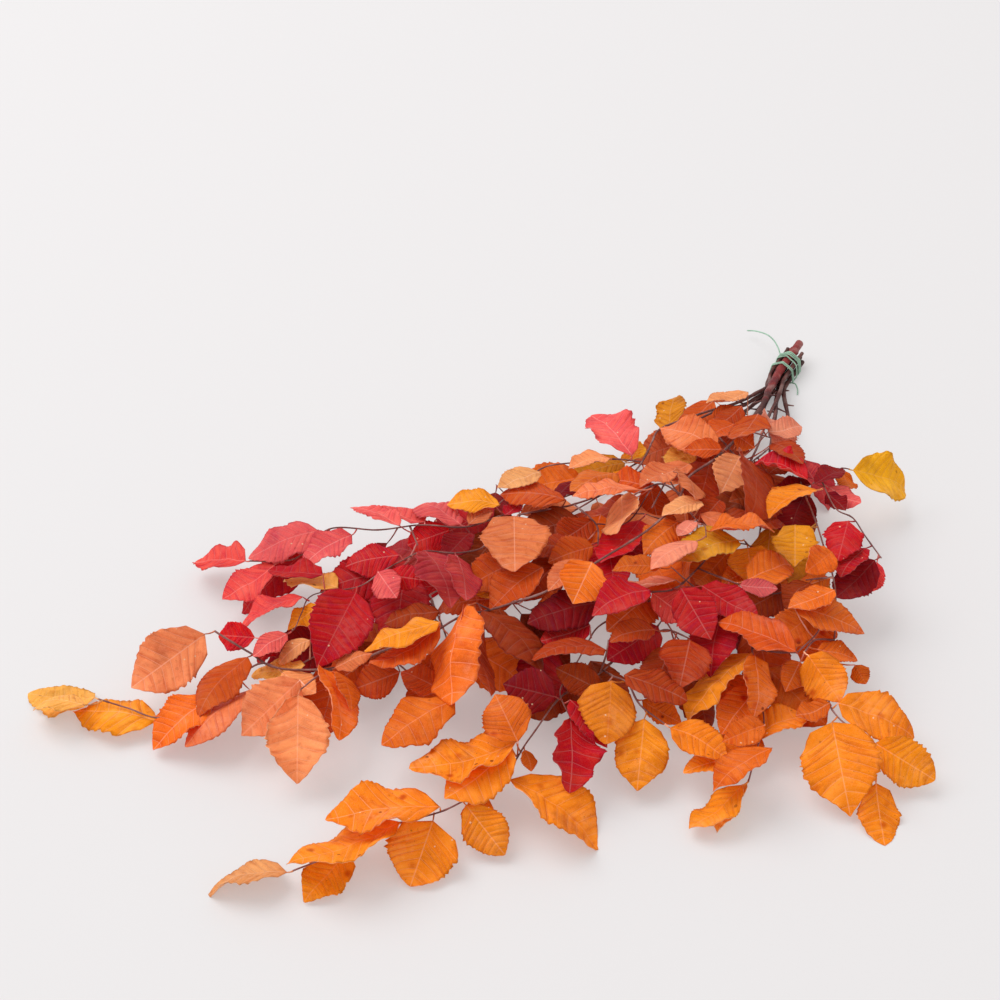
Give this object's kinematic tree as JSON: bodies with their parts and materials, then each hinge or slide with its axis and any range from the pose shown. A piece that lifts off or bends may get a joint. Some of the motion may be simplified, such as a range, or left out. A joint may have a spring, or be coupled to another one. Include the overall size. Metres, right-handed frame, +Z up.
{
  "type": "tied bunch of autumn beech branches",
  "caption": "Bunch of cut autumn branches lying flat, with red, coral, orange and yellow leaves on woody stems, held near the cut ends by a green wire.",
  "frame": {"origin": "centre of the bounding box in plan, on the surface that the bunch lies on", "axes": "+Z up; the cut stem ends point towards +Y and a little +X, and the leaves spread towards -Y and -X"},
  "size_m": [0.6698, 0.6396, 0.0892],
  "materials": {
    "coral_leaves": "semi-matt leaf",
    "crimson_leaves": "semi-matt leaf",
    "rose_red_leaves": "semi-matt leaf",
    "deep_red_leaves": "semi-matt leaf",
    "orange_leaves": "semi-matt leaf",
    "amber_leaves": "semi-matt leaf",
    "yellow_leaves": "semi-matt leaf",
    "green_wire": "smooth coating"
  },
  "bodies": {
    "root": {"branch_coral": "coral_leaves", "branch_red_middle": "crimson_leaves", "branch_orange_back": "orange_leaves", "branch_red_left": "rose_red_leaves", "branch_amber_front": "amber_leaves", "branch_red_right": "deep_red_leaves", "branch_yellow": "yellow_leaves", "branch_amber_low": "amber_leaves", "branch_amber_right": "amber_leaves", "branch_orange_top": "orange_leaves", "tie_wire": "green_wire"}
  },
  "joints": []
}
